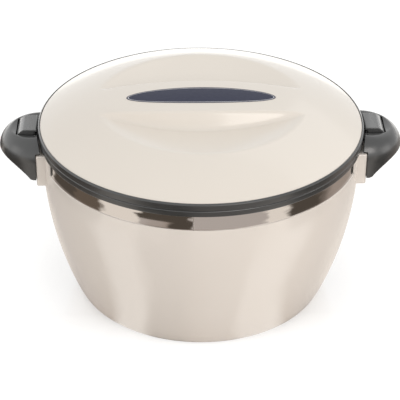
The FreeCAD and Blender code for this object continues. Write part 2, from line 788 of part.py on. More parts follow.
def handle(name, turn):
    wide = dim["handle_radius"] + dim["handle_wall"]
    low = handle_tip
    wall = dim["handle_wall"]
    hollow_start = handle_face + dim["handle_root_wall"]
    slab = block(name + "_slab", (handle_face, handle_reach + wall), (-wide, wide), (low, latch_top))
    cheeks = block(name + "_cheeks", (handle_axis - wall, handle_face + wall), (-wide, wide), (cheek_bottom, latch_top))
    rim_space = primitive("Part::Cylinder", name + "_rim_space", z=low, Radius=cheek_radius, Height=latch_top - low)
    blank = common(name + "_blank",
                   capped(name + "_cap", dim["handle_radius"], handle_top, dim["handle_dome"], low),
                   fused(name + "_extent", [slab, cut(name + "_cheek_extent", cheeks, rim_space)]))
    dish_level = handle_top - dim["dish_depth"] + dim["dish_curve"]
    outside = cut(name + "_outside", blank, ball(name + "_dish", dish_level, dim["dish_curve"], pin_reach))
    hollow = common(name + "_hollow",
                    capped(name + "_inner_cap", dim["handle_radius"] - wall, handle_top - dim["handle_roof"],
                           dim["handle_dome"] - wall, low - wall),
                    block(name + "_inner_slab", (hollow_start, handle_reach), (-wide, wide), (low - wall, latch_top)))
    recess_end = latch_outer + dim["recess_outer_gap"]
    recess_floor = pin_height - dim["barrel_radius"] - dim["recess_floor_gap"]
    housing_side = recess_side + dim["recess_wall"]
    housing = block(name + "_housing", (handle_face, recess_end + dim["recess_wall"]), (-housing_side, housing_side),
                    (recess_floor - dim["recess_wall"], latch_top))
    bosses = []
    for index, side in enumerate((-dim["screw_distance"], dim["screw_distance"])):
        boss = primitive("Part::Cylinder", name + "_boss_%d" % (index + 1), handle_face, side, screw_level,
                         Radius=dim["boss_radius"], Height=dim["screw_bite"] + dim["boss_end"])
        boss.Placement.Rotation = FreeCAD.Rotation(FreeCAD.Vector(0, 1, 0), 90)
        bosses.append(boss)
    kept = fused(name + "_kept", [housing] + bosses)
    cap = cut(name + "_cap_shell", outside, cut(name + "_finger_space", hollow, kept))
    cutters = [block(name + "_recess", (handle_axis - wall, recess_end), (-recess_side, recess_side),
                     (recess_floor, latch_top + wall)),
               rim_cutter(name + "_rim")]
    pin_hole = primitive("Part::Cylinder", name + "_pin_hole", pin_reach, -(pin_half_length + dim["press_gap"]),
                         pin_height, Radius=dim["pin_radius"] + dim["press_gap"],
                         Height=(pin_half_length + dim["press_gap"]) * 2)
    pin_hole.Placement.Rotation = FreeCAD.Rotation(FreeCAD.Vector(1, 0, 0), -90)
    cutters.append(pin_hole)
    for index, side in enumerate((-dim["screw_distance"], dim["screw_distance"])):
        pilot = primitive("Part::Cylinder", name + "_pilot_%d" % (index + 1), handle_face - wall, side, screw_level,
                          Radius=dim["screw_radius"] + dim["running_gap"],
                         Height=dim["screw_bite"] + wall + dim["fit_gap"])
        pilot.Placement.Rotation = FreeCAD.Rotation(FreeCAD.Vector(0, 1, 0), 90)
        cutters.append(pilot)
    piece = cut(name, cap, fused(name + "_cutters", cutters))
    if turn:
        turn_half(piece)
    nodes[name] = piece


def rim_cutter(name):
    """What lies under the handle's rim: from the low tip at the pad it sweeps up to the outer end."""
    sketch = doc.addObject("Sketcher::SketchObject", name + "_line")
    sketch.Placement = FreeCAD.Placement(FreeCAD.Vector(), FreeCAD.Rotation(FreeCAD.Vector(1, 0, 0), 90))
    tip_end = handle_face + dim["handle_tip_length"]
    beyond = handle_reach + dim["handle_wall"]
    below = handle_tip - dim["handle_wall"] * 2
    draw_outline(sketch, [
        (handle_face - dim["handle_wall"], below),
        (beyond, below),
        (beyond, handle_rim, dim["handle_sweep_curve"]),
        (tip_end + dim["handle_tip_run"], handle_tip + dim["handle_tip_rise"], -dim["handle_tip_curve"]),
        (tip_end, handle_tip),
        (handle_face - dim["handle_wall"], handle_tip),
    ])
    cutter = doc.addObject("Part::Extrusion", name)
    cutter.Base = sketch
    cutter.DirMode = "Custom"
    cutter.Dir = FreeCAD.Vector(0, 1, 0)
    cutter.Solid = True
    cutter.Symmetric = True
    bind(cutter, LengthFwd=(dim["handle_radius"] + dim["handle_wall"]) * 2)
    return cutter


def handle_screws(name, turn):
    screws = []
    for index, side in enumerate((-dim["screw_distance"], dim["screw_distance"])):
        head = primitive("Part::Cylinder", name + "_head_%d" % (index + 1), screw_seat - dim["screw_head_height"], side,
                         screw_level, Radius=dim["screw_head_radius"], Height=dim["screw_head_height"])
        shank = primitive("Part::Cylinder", name + "_shank_%d" % (index + 1), screw_seat, side, screw_level,
                          Radius=dim["screw_radius"], Height=handle_face + dim["screw_bite"] - screw_seat)
        for item in (head, shank):
            item.Placement.Rotation = FreeCAD.Rotation(FreeCAD.Vector(0, 1, 0), 90)
        screws.append(fused(name + "_%d" % (index + 1), [head, shank]))
    pair = doc.addObject("Part::Compound", name)
    pair.Links = screws
    if turn:
        turn_half(pair)
    nodes[name] = pair


def latch_pin(name, turn):
    pin = primitive("Part::Cylinder", name, pin_reach, -pin_half_length, pin_height,
                    Radius=dim["pin_radius"], Height=pin_half_length * 2)
    pin.Placement.Rotation = FreeCAD.Rotation(FreeCAD.Vector(1, 0, 0), -90)
    holder = doc.addObject("Part::Compound", name + "_piece")
    holder.Links = [pin]
    if turn:
        turn_half(holder)
    nodes[name] = holder


def latch(name, turn):
    body = new_body(name)
    barrel_in = pin_reach - dim["barrel_radius"]
    barrel_out = pin_reach + dim["barrel_radius"]
    nose = ring_radius + dim["fit_gap"]
    nose_under = latch_top - dim["latch_nose_height"]
    chamfer = dim["latch_nose_chamfer"]
    toe = dim["latch_toe"]
    sketch = new_sketch(body, "latch_side", "XZ_Plane")
    draw_outline(sketch, [
        (nose, nose_under),
        (latch_inner, nose_under),
        (barrel_in, pin_height, dim["barrel_radius"]),
        (pin_reach, pin_height - dim["barrel_radius"], dim["barrel_radius"]),
        (barrel_out, pin_height),
        (latch_outer - toe, latch_top - dim["latch_shoulder"] - toe),
        (latch_outer, latch_top - dim["latch_shoulder"], dim["latch_shoulder_curve"]),
        (latch_outer - dim["latch_shoulder"], latch_top),
        (nose + chamfer, latch_top),
        (nose, latch_top - chamfer),
    ])
    extruded(body, "latch_block", sketch, dim["latch_half_width"] * 2, both_ways=True)
    sketch = new_sketch(body, "bore_outline", "XZ_Plane")
    draw_circles(sketch, [(pin_reach, pin_height, dim["pin_radius"] + dim["running_gap"])])
    extruded(body, "pin_bore", sketch, dim["latch_half_width"] * 2 + dim["recess_side_gap"], kind="PartDesign::Pocket",
             both_ways=True)
    half = dim["latch_half_width"].value
    start = FreeCAD.Vector((nose + chamfer).value, 0, latch_top.value)
    rounded(body, "latch_rounding", body.Tip, lambda edge: is_side_edge(edge, half, start), dim["latch_edge_round"])
    if turn:
        turn_half(body)


def is_side_edge(edge, half, start):
    """Whether an edge bounds a latch's end face, reaches its top and lies outwards of the start."""
    points = [vertex.Point for vertex in edge.Vertexes]
    if len(points) != 2 or not all(abs(abs(point.y) - half) < 0.01 for point in points):
        return False
    return max(point.z for point in points) > start.z - 0.01 and min(point.x for point in points) > start.x - 0.01


outer_shell()
base_plug()
body_insulation()
inner_bowl()
rim_collar()
steel_band("steel_band_front", True)
steel_band("steel_band_rear", False)
for side, turn in (("right", False), ("left", True)):
    handle("handle_" + side, turn)
    handle_screws("handle_screws_" + side, turn)
    latch_pin("latch_pin_" + side, turn)
    latch("latch_" + side, turn)
lid_ring()
lid_cover()
badge_plate()
lid_liner()
lid_gasket()
lid_insulation()
doc.recompute()

failed = [item.Name for item in doc.Objects if "Invalid" in item.State or "Error" in item.State]
if failed:
    raise RuntimeError("failed objects: " + ", ".join(failed))
os.makedirs("parts", exist_ok=True)
for name, piece in nodes.items():
    shape = piece.Shape
    if shape.isNull() or not shape.isValid():
        raise RuntimeError("bad shape: " + name)
    shape.exportStep("parts/" + name + ".step")
    print("%-20s solids %d  volume %10.1f mm3  box %s" % (name, len(shape.Solids), shape.Volume, shape.BoundBox))
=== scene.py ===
import math

import bpy
import numpy as np
from mathutils import Matrix, Vector

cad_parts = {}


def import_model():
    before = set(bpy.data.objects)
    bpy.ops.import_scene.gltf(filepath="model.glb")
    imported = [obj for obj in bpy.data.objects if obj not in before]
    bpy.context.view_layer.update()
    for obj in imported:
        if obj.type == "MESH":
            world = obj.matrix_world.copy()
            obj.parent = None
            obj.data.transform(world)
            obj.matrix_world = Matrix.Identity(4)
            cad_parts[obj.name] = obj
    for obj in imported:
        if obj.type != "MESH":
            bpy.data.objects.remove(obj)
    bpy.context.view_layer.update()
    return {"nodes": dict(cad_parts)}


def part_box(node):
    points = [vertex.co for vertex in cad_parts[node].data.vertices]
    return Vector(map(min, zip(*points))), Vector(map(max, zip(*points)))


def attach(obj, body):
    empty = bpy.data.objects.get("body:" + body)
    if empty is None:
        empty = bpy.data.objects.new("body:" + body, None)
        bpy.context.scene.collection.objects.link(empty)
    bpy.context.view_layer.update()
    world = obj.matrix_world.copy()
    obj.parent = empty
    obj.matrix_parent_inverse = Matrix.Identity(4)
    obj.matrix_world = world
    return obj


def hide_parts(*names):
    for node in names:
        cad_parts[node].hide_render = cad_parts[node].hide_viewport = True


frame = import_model()

MM = 0.001
FULL_TURN = 2 * math.pi

# Heights and radii, read from the CAD model's boxes
shell_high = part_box("outer_shell")[1]
band_low, band_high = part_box("steel_band_rear")
collar_low, collar_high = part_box("rim_collar")
ring_low, ring_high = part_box("lid_ring")
cover_low, cover_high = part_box("lid_cover")
bowl_low, bowl_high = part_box("inner_bowl")
liner_low, liner_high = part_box("lid_liner")
seal_low, seal_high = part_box("lid_gasket")
badge_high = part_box("badge_plate")[1]
latch_low, latch_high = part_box("latch_right")
pin_low, pin_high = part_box("latch_pin_right")
BODY_RADIUS = band_high.y

# Sizes that the boxes don't give, as in the CAD model
BODY_CURVE = 310 * MM  # radius of the body's side
BASE_ROUND = 9 * MM
BASE_RECESS = 2 * MM
RECESS_RADIUS = 87.985 * MM
SHELL_WALL = 2.4 * MM
PAD_HALF_WIDTH = 34 * MM
PAD_BOTTOM = 111 * MM
PAD_TOP = 139 * MM
PAD_ROUND = 1.3 * MM
PAD_DEPTH = SHELL_WALL * 5
SHOULDER_ANGLE = math.radians(20.5)
BAND_END_ANGLE = math.radians(2.0)
BAND_SHEET = 0.6 * MM
BAND_BEND = 1.3 * MM
BAND_FLANGE = 2.4 * MM
COVER_DROP = 0.2 * MM  # the cover's edge lies this far below the ring's top
CROWN_CURVE = 742 * MM  # the flat crown, then the rounder bend down to the edge
CROWN_REACH = 64 * MM
BEND_CURVE = 183 * MM
SCOOP_DEPTH = 15.7 * MM
SCOOP_CURVE = 390 * MM
RIDGE_HALF_WIDTH = 27 * MM
RIDGE_CURVE = 390 * MM
RIDGE_FLARE = 8 * MM
BADGE_HALF_WIDTH = 13.6 * MM
RECESS_END = 152.6 * MM  # the latch's recess in the handle
RECESS_HALF_WIDTH = 13.9 * MM
BADGE_PROUD = 0.3 * MM
SEAM_ANGLE = math.radians(-93.8)
SEAM_PROUD = 0.28 * MM
SEAM_SUNK = 0.1 * MM
SEAM_HALF_WIDTH = 0.45 * MM
COLLAR_INNER = 114.5 * MM
COLLAR_LEDGE = 0.8 * MM  # the bowl's flange rests this far below the collar's top
COLLAR_WEB = 2.6 * MM
COLLAR_SKIRT = 2.4 * MM
PART_GAP = 0.3 * MM  # between pieces that fit into each other
BOWL_RADIUS = 112 * MM
BOWL_SHEET = 0.8 * MM
BOWL_ROUND = 22 * MM
RING_INNER = 113 * MM
RING_WEB = 2 * MM
RING_WALL = 2.8 * MM
LINER_RADIUS = 111 * MM
LINER_SHEET = 0.6 * MM
LINER_ROUND = 6 * MM
SEAL_INNER = 113.6 * MM
LATCH_OUTER = 152.2 * MM
LATCH_SHOULDER = 5.3 * MM  # height of the sloping outer end
LATCH_BARREL = 3.8 * MM
LATCH_BARREL_START = 137.6 * MM
LATCH_PLATE = 2.2 * MM

# The handles' smoothing
HANDLE_CELL = 0.5 * MM
CREST_LEVEL = 140 * MM
CREST_START = 138 * MM
CREST_FADE = 3 * MM
RECESS_MARGIN = 1.5 * MM

# The photograph's camera
CAMERA_DISTANCE = 1.4
CAMERA_ELEVATION = math.radians(31.57)
CAMERA_AZIMUTH = math.radians(1.57)
CAMERA_ROLL = math.radians(0.39)
CAMERA_TARGET_HEIGHT = 75.7 * MM
FOCAL_PIXELS = 1637.7
PICTURE_PIXELS = 400
CENTRE_OFFSET_PIXELS = 0.42

# The studio
SKY_STRENGTH = 0.80
FLOOR_SIZE = 6.0
FLOOR_GLOW = 0.74
FLOOR_POLISH = 0.4


# Mesh helpers

def mesh_piece(name, points, faces, material, body, replaced=(), slot=None, sharp=40):
    """Object from points in metres, smooth except over sharp edges, riding on a body."""
    mesh = bpy.data.meshes.new(name)
    corners = [tuple(map(float, point)) for point in points]
    mesh.from_pydata(corners, [], [tuple(map(int, face)) for face in faces])
    mesh.validate()
    mesh.shade_smooth()
    mesh.set_sharp_from_angle(angle=math.radians(sharp))
    piece = bpy.data.objects.new(name, mesh)
    bpy.context.scene.collection.objects.link(piece)
    piece.data.materials.append(material)
    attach(piece, body)
    if replaced:
        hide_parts(*replaced)
    return piece


def rounded_path(corners, steps=6, closed=True):
    """Polyline through corners (r, z) or (r, z, round), with a tangent arc at each rounded corner."""
    path = []
    count = len(corners)
    for index, corner in enumerate(corners):
        here = np.array(corner[:2], float)
        round_size = corner[2] if len(corner) == 3 else 0.0
        if round_size <= 0 or (not closed and index in (0, count - 1)):
            path.append(here)
            continue
        before = np.array(corners[index - 1][:2], float) - here
        after = np.array(corners[(index + 1) % count][:2], float) - here
        before_length, after_length = np.linalg.norm(before), np.linalg.norm(after)
        before /= before_length
        after /= after_length
        half = math.acos(max(-1.0, min(1.0, float(before @ after)))) / 2
        reach = min(round_size / math.tan(half), 0.49 * before_length, 0.49 * after_length)
        radius = reach * math.tan(half)
        middle = (before + after) / np.linalg.norm(before + after)
        centre = here + middle * radius / math.sin(half)
        start, end = here + before * reach - centre, here + after * reach - centre
        first = math.atan2(start[1], start[0])
        turn = (math.atan2(end[1], end[0]) - first + math.pi) % FULL_TURN - math.pi
        for step in range(steps + 1):
            angle = first + turn * step / steps
            path.append(centre + radius * np.array((math.cos(angle), math.sin(angle))))
    return path


def arc_path(start, end, radius, steps):
    """Points of a circle's short arc between two points, both left out; its centre is on the left."""
    start, end = np.array(start, float), np.array(end, float)
    along = end - start
    length = np.linalg.norm(along)
    across = np.array((-along[1], along[0])) / length
    centre = (start + end) / 2 + across * math.sqrt(radius * radius - length * length / 4)
    first = math.atan2(*(start - centre)[::-1])
    turn = (math.atan2(*(end - centre)[::-1]) - first + math.pi) % FULL_TURN - math.pi
    angles = [first + turn * step / steps for step in range(1, steps)]
    return [centre + radius * np.array((math.cos(angle), math.sin(angle))) for angle in angles]


def lathe(name, path, material, body, start=0.0, sweep=FULL_TURN, segments=240, **more):
    """Closed profile (r, z) turned about Z, all round or through part of a turn with closed ends."""
    path = np.array(path)
    whole = abs(sweep - FULL_TURN) < 1e-6
    rows = segments if whole else max(8, round(segments * sweep / FULL_TURN)) + 1
    angles = start + sweep * np.arange(rows) / (rows if whole else rows - 1)
    count = len(path)
    points = [(r * math.cos(a), r * math.sin(a), z) for a in angles for r, z in path]
    faces = []
    for row in range(rows if whole else rows - 1):
        low, high = row * count, (row + 1) % rows * count
        for index in range(count):
            after = (index + 1) % count
            if path[index][0] < 1e-7 and path[after][0] < 1e-7:
                continue
            if path[index][0] < 1e-7:
                faces.append((low + index, high + after, low + after))
            elif path[after][0] < 1e-7:
                faces.append((low + index, high + index, low + after))
            else:
                faces.append((low + index, high + index, high + after, low + after))
    if not whole:
        faces.append(tuple(range(count)))
        faces.append(tuple(reversed(range((rows - 1) * count, rows * count))))
    return mesh_piece(name, points, faces, material, body, **more)


def rounded_block(low, high, radius, divisions, place=None):
    """Points and faces of a box with rounded edges; place moves each point, as for a bend."""
    low, high = np.array(low, float), np.array(high, float)
    axes = []
    for axis in range(3):
        inner = np.linspace(low[axis] + radius, high[axis] - radius, divisions[axis] + 1)
        edge = radius * (1 - np.tan(np.radians(np.linspace(45, 0, 5)[:-1])))
        axes.append(np.concatenate((low[axis] + edge, inner, (high[axis] - edge)[::-1])))
    points, faces, known = [], [], {}

    def vertex(raw):
        key = tuple(np.round(raw, 8))
        if key not in known:
            core = np.clip(raw, low + radius, high - radius)
            away = raw - core
            length = np.linalg.norm(away)
            point = core + away / length * radius if length > 1e-12 else raw
            known[key] = len(points)
            points.append(place(point) if place else point)
        return known[key]

    for axis in range(3):
        u, v = (axis + 1) % 3, (axis + 2) % 3
        for level, flip in ((low[axis], True), (high[axis], False)):
            for i in range(len(axes[u]) - 1):
                for j in range(len(axes[v]) - 1):
                    face = []
                    for a, b in ((i, j), (i + 1, j), (i + 1, j + 1), (i, j + 1)):
                        raw = np.zeros(3)
                        raw[axis], raw[u], raw[v] = level, axes[u][a], axes[v][b]
                        face.append(vertex(raw))
                    faces.append(tuple(reversed(face)) if flip else tuple(face))
    return points, faces


def on_side(points, side):
    """Points made for the right handle (side 1), turned half round Z for the left one (side -1)."""
    return points if side > 0 else [(-p[0], -p[1], p[2]) for p in points]


def ring_quads(rings, count, first=0, closed=False, flip=False):
    """Faces between rings of count points each; closed joins the last ring to the first."""
    faces = []
    for ring in range(rings if closed else rings - 1):
        low, high = first + ring * count, first + (ring + 1) % rings * count
        for i in range(count):
            after = (i + 1) % count
            quad = (low + i, low + after, high + after, high + i)
            faces.append((quad[0], *quad[:0:-1]) if flip else quad)
    return faces


def evaluated_mesh(piece):
    """The piece's mesh with its modifiers applied, which are then removed."""
    bpy.context.view_layer.update()
    graph = bpy.context.evaluated_depsgraph_get()
    mesh = bpy.data.meshes.new_from_object(piece.evaluated_get(graph))
    piece.modifiers.clear()
    return mesh


# Material helpers

def feed(tree, socket, value):
    """Set a socket to a number or colour, or link another node's output to it."""
    if isinstance(value, bpy.types.NodeSocket):
        tree.links.new(value, socket)
    else:
        socket.default_value = value


def calculated(tree, operation, *values):
    node = tree.nodes.new("ShaderNodeMath")
    node.operation = operation
    for socket, value in zip(node.inputs, values):
        feed(tree, socket, value)
    return node.outputs[0]


def mapped(tree, value, source, target=(0.0, 1.0)):
    """A value mapped from the source range to the target range and held inside it."""
    node = tree.nodes.new("ShaderNodeMapRange")
    node.inputs["From Min"].default_value, node.inputs["From Max"].default_value = source
    node.inputs["To Min"].default_value, node.inputs["To Max"].default_value = target
    tree.links.new(value, node.inputs["Value"])
    return node.outputs["Result"]


def split_axes(tree, vector):
    node = tree.nodes.new("ShaderNodeSeparateXYZ")
    tree.links.new(vector, node.inputs["Vector"])
    return node.outputs["X"], node.outputs["Y"], node.outputs["Z"]


def distance_to_origin(tree, vector):
    node = tree.nodes.new("ShaderNodeVectorMath")
    node.operation = "LENGTH"
    tree.links.new(vector, node.inputs[0])
    return node.outputs["Value"]


def mixed_color(tree, share, first, second):
    node = tree.nodes.new("ShaderNodeMix")
    node.data_type = "RGBA"
    for index, value in ((0, share), (6, first), (7, second)):
        feed(tree, node.inputs[index], value)
    return node.outputs[2]


def mixed_shader(tree, share, first, second):
    node = tree.nodes.new("ShaderNodeMixShader")
    tree.links.new(share, node.inputs["Fac"])
    tree.links.new(first, node.inputs[1])
    tree.links.new(second, node.inputs[2])
    return node.outputs[0]


class Look:
    """A node material that starts from one Principled shader."""

    def __init__(self, name, color, roughness, metallic=0.0, **sockets):
        self.material = bpy.data.materials.new(name)
        self.material.use_nodes = True
        self.tree = self.material.node_tree
        self.shader = self.tree.nodes["Principled BSDF"]
        self.color = color
        self.shader.inputs["Base Color"].default_value = (*color, 1)
        self.shader.inputs["Roughness"].default_value = roughness
        self.shader.inputs["Metallic"].default_value = metallic
        for socket, value in sockets.items():
            self.shader.inputs[socket.replace("_", " ")].default_value = value
        self.place = self.tree.nodes.new("ShaderNodeTexCoord").outputs["Object"]

    def noise(self, scale, detail=3.0, stretch=None):
        """Noise of so many grains per metre, stretched along an axis where asked."""
        node = self.tree.nodes.new("ShaderNodeTexNoise")
        node.inputs["Scale"].default_value = scale
        node.inputs["Detail"].default_value = detail
        place = self.place
        if stretch:
            mapping = self.tree.nodes.new("ShaderNodeMapping")
            mapping.inputs["Scale"].default_value = stretch
            self.tree.links.new(place, mapping.inputs["Vector"])
            place = mapping.outputs["Vector"]
        self.tree.links.new(place, node.inputs["Vector"])
        return node.outputs["Fac"]

    def polar(self):
        """Coordinates round Z, for what is brushed or spun: the radius, then the height."""
        x, y, z = split_axes(self.tree, self.place)
        square = calculated(self.tree, "MULTIPLY", x, x)
        radius = calculated(self.tree, "SQRT", calculated(self.tree, "MULTIPLY_ADD", y, y, square))
        join = self.tree.nodes.new("ShaderNodeCombineXYZ")
        self.tree.links.new(radius, join.inputs["X"])
        self.tree.links.new(z, join.inputs["Y"])
        self.place = join.outputs["Vector"]
        return self

    def ranged(self, source, low, high):
        """A noise's middle values spread over a range."""
        return mapped(self.tree, source, (0.3, 0.7), (low, high))

    def vary_color(self, source, other):
        """Mix the base colour with another one by a noise."""
        share = self.ranged(source, 0.0, 1.0)
        mix = mixed_color(self.tree, share, (*self.color, 1), (*other, 1))
        self.tree.links.new(mix, self.shader.inputs["Base Color"])
        return self

    def vary_roughness(self, source, low, high):
        self.tree.links.new(self.ranged(source, low, high), self.shader.inputs["Roughness"])
        return self

    def bump(self, source, height):
        """Relief of a height in metres."""
        node = self.tree.nodes.new("ShaderNodeBump")
        node.inputs["Distance"].default_value = height
        node.inputs["Strength"].default_value = 1.0
        self.tree.links.new(source, node.inputs["Height"])
        self.tree.links.new(node.outputs["Normal"], self.shader.inputs["Normal"])
        return self


def cream_plastic(name, color, other, gloss, coat_index):
    look = Look(name, color, 0.34, Coat_Weight=gloss, Coat_Roughness=0.13, Coat_IOR=coat_index,
                Specular_IOR_Level=0.4)
    look.vary_color(look.noise(9, 2.0), other)
    look.vary_roughness(look.noise(60, 4.0), 0.30, 0.38)
    look.bump(look.noise(180, 1.0), 0.000003)
    return look.material


def dark_plastic():
    look = Look("dark_plastic", (0.024, 0.025, 0.025), 0.35, Coat_Weight=1.0, Coat_Roughness=0.24,
                Specular_IOR_Level=0.7)
    look.vary_color(look.noise(25, 3.0), (0.03, 0.031, 0.031))
    look.vary_roughness(look.noise(120, 4.0), 0.30, 0.42)
    look.bump(look.noise(1400, 2.0), 0.000003)
    return look.material


def latch_plastic():
    look = Look("latch_plastic", (0.045, 0.046, 0.046), 0.28, Coat_Weight=1.0, Coat_Roughness=0.15,
                Specular_IOR_Level=0.7)
    look.vary_color(look.noise(40, 3.0), (0.056, 0.057, 0.057))
    look.vary_roughness(look.noise(200, 4.0), 0.24, 0.34)
    look.bump(look.noise(1400, 2.0), 0.0000015)
    return look.material


def bright_steel():
    look = Look("bright_steel", (0.80, 0.77, 0.74), 0.08, metallic=1.0).polar()
    look.vary_roughness(look.noise(1.0, 3.0, stretch=(40, 2600, 1)), 0.04, 0.09)
    look.bump(look.noise(1.0, 2.0, stretch=(60, 300, 1)), 0.000006)
    return look.material


def brushed_steel():
    look = Look("brushed_steel", (0.70, 0.70, 0.70), 0.24, metallic=1.0).polar()
    look.vary_color(look.noise(1.0, 3.0, stretch=(900, 900, 1)), (0.64, 0.64, 0.65))
    look.vary_roughness(look.noise(1.0, 4.0, stretch=(1500, 1500, 1)), 0.18, 0.32)
    look.bump(look.noise(1.0, 3.0, stretch=(2200, 2200, 1)), 0.000008)
    return look.material


def plain_steel():
    look = Look("plain_steel", (0.55, 0.55, 0.55), 0.3, metallic=1.0)
    look.vary_roughness(look.noise(500, 3.0), 0.25, 0.4)
    look.bump(look.noise(1500, 2.0), 0.00001)
    return look.material


def rigid_foam():
    look = Look("rigid_foam", (0.80, 0.70, 0.45), 0.85)
    look.vary_color(look.noise(300, 4.0), (0.70, 0.60, 0.36))
    look.vary_roughness(look.noise(300, 3.0), 0.8, 0.95)
    look.bump(look.noise(900, 4.0), 0.0002)
    return look.material


def silicone():
    look = Look("silicone", (0.62, 0.62, 0.61), 0.5, Subsurface_Weight=0.2,
                Subsurface_Radius=(0.003, 0.003, 0.003))
    look.vary_color(look.noise(60, 2.0), (0.58, 0.58, 0.57))
    look.vary_roughness(look.noise(300, 3.0), 0.45, 0.6)
    look.bump(look.noise(1200, 2.0), 0.00001)
    return look.material


def navy_enamel():
    look = Look("navy_enamel", (0.024, 0.028, 0.058), 0.32, Specular_IOR_Level=0.22)
    look.vary_color(look.noise(400, 2.0), (0.03, 0.034, 0.068))
    look.vary_roughness(look.noise(300, 2.0), 0.28, 0.38)
    look.bump(look.noise(200, 1.0), 0.000003)
    return look.material


def badge_silver():
    look = Look("badge_silver", (0.78, 0.78, 0.80), 0.2, metallic=1.0)
    look.vary_roughness(look.noise(700, 3.0), 0.15, 0.28)
    look.bump(look.noise(1500, 2.0), 0.000004)
    return look.material


CREAM = cream_plastic("cream_plastic", (0.77, 0.705, 0.65), (0.75, 0.685, 0.625), 1.0, 1.75)
LID_CREAM = cream_plastic("lid_cream_plastic", (0.80, 0.742, 0.67), (0.785, 0.722, 0.65), 1.0, 1.5)
DARK = dark_plastic()
LATCH = latch_plastic()
BRIGHT = bright_steel()
BRUSHED = brushed_steel()
STEEL = plain_steel()
FOAM = rigid_foam()
SILICONE = silicone()
NAVY = navy_enamel()
SILVER = badge_silver()


# The body

def side_radius(level, inset=0.0):
    """Radius of the body's curved side at a height, or of its inner face at an inset."""
    centre = BODY_RADIUS - BODY_CURVE
    return centre + math.sqrt((BODY_CURVE - inset) ** 2 - (band_low.z - level) ** 2)


def outer_shell():
    top = band_low.z
    floor = BASE_RECESS + SHELL_WALL
    foot = side_radius(0.0)
    corners = [(0.0, BASE_RECESS), (RECESS_RADIUS, BASE_RECESS, 0.5 * MM),
               (RECESS_RADIUS + BASE_RECESS, 0.0, 0.8 * MM)]
    base_lift = BASE_ROUND * 1.2
    corners.append((foot - 0.4 * MM, 0.0, BASE_ROUND))
    corners.append((side_radius(base_lift), base_lift))
    path = rounded_path(corners, steps=14, closed=False)
    path += arc_path(path[-1], (BODY_RADIUS, top), BODY_CURVE, 60)
    inner = BODY_RADIUS - SHELL_WALL
    path += rounded_path([
        (inner, top - 5 * MM), (BODY_RADIUS, top - 0.5 * MM), (BODY_RADIUS - 0.5 * MM, top), (inner, top),
    ], closed=False)[1:]
    levels = np.linspace(top - 2 * MM, floor, 12)
    path += [(side_radius(level, SHELL_WALL), level) for level in levels]
    path.append((0.0, floor))
    lathe("shell", path, CREAM, "casserole", segments=288, replaced=("outer_shell",),
          slot="cream_plastic")


def pad_and_shoulder(side):
    """The flat mounting pad and the raised shoulder behind a handle."""
    name = "right" if side > 0 else "left"
    inner, outer = shell_high.x - PAD_DEPTH, shell_high.x
    points, faces = rounded_block((inner, -PAD_HALF_WIDTH, PAD_BOTTOM), (outer, PAD_HALF_WIDTH, PAD_TOP),
                                  PAD_ROUND, (4, 12, 6))
    mesh_piece("handle_pad_" + name, on_side(points, side), faces, CREAM, "casserole",
               slot="cream_plastic")

    def bent(point):
        angle = point[1] / BODY_RADIUS
        return (point[0] * math.cos(angle), point[0] * math.sin(angle), point[2])

    reach = SHOULDER_ANGLE * BODY_RADIUS
    points, faces = rounded_block((BODY_RADIUS - SHELL_WALL, -reach, band_low.z - 3 * MM),
                                  (BODY_RADIUS, reach, shell_high.z), 1.1 * MM, (1, 40, 6), place=bent)
    mesh_piece("shoulder_" + name, on_side(points, side), faces, CREAM, "casserole",
               slot="cream_plastic")


def steel_bands():
    low, high = band_low.z, band_high.z
    edge = BODY_RADIUS - BAND_FLANGE
    inner = BODY_RADIUS - BAND_SHEET
    inner_round = BAND_BEND - BAND_SHEET
    path = rounded_path([
        (edge, low), (BODY_RADIUS, low, BAND_BEND), (BODY_RADIUS, high, BAND_BEND), (edge, high),
        (edge, high - BAND_SHEET), (inner, high - BAND_SHEET, inner_round),
        (inner, low + BAND_SHEET, inner_round), (edge, low + BAND_SHEET),
    ], steps=7)
    end = SHOULDER_ANGLE + BAND_END_ANGLE
    gap = math.radians(0.12)
    lathe("band_rear", path, BRIGHT, "casserole", start=end, sweep=math.pi - 2 * end,
          replaced=("steel_band_rear",), slot="bright_steel")
    lathe("band_front_left", path, BRIGHT, "casserole", start=-math.pi + end,
          sweep=SEAM_ANGLE + math.pi - end - gap / 2, replaced=("steel_band_front",), slot="bright_steel")
    lathe("band_front_right", path, BRIGHT, "casserole", start=SEAM_ANGLE + gap / 2,
          sweep=-end - SEAM_ANGLE - gap / 2, slot="bright_steel")
    points = []
    turns = np.linspace(0, math.pi, 9)
    levels = [low + 0.35 * MM, low + 0.8 * MM, high - 0.8 * MM, high - 0.35 * MM]
    for level, share in zip(levels, (0.2, 1.0, 1.0, 0.2)):
        for turn in turns:
            radius = BODY_RADIUS + SEAM_PROUD * math.sin(turn) * share - SEAM_SUNK
            angle = SEAM_ANGLE + SEAM_HALF_WIDTH / BODY_RADIUS * math.cos(turn)
            points.append((radius * math.cos(angle), radius * math.sin(angle), level))
    count = len(turns)
    faces = ring_quads(len(levels), count)
    faces.append(tuple(reversed(range(count))))
    faces.append(tuple(range((len(levels) - 1) * count, len(levels) * count)))
    mesh_piece("band_seam", points, faces, BRIGHT, "casserole", slot="bright_steel")


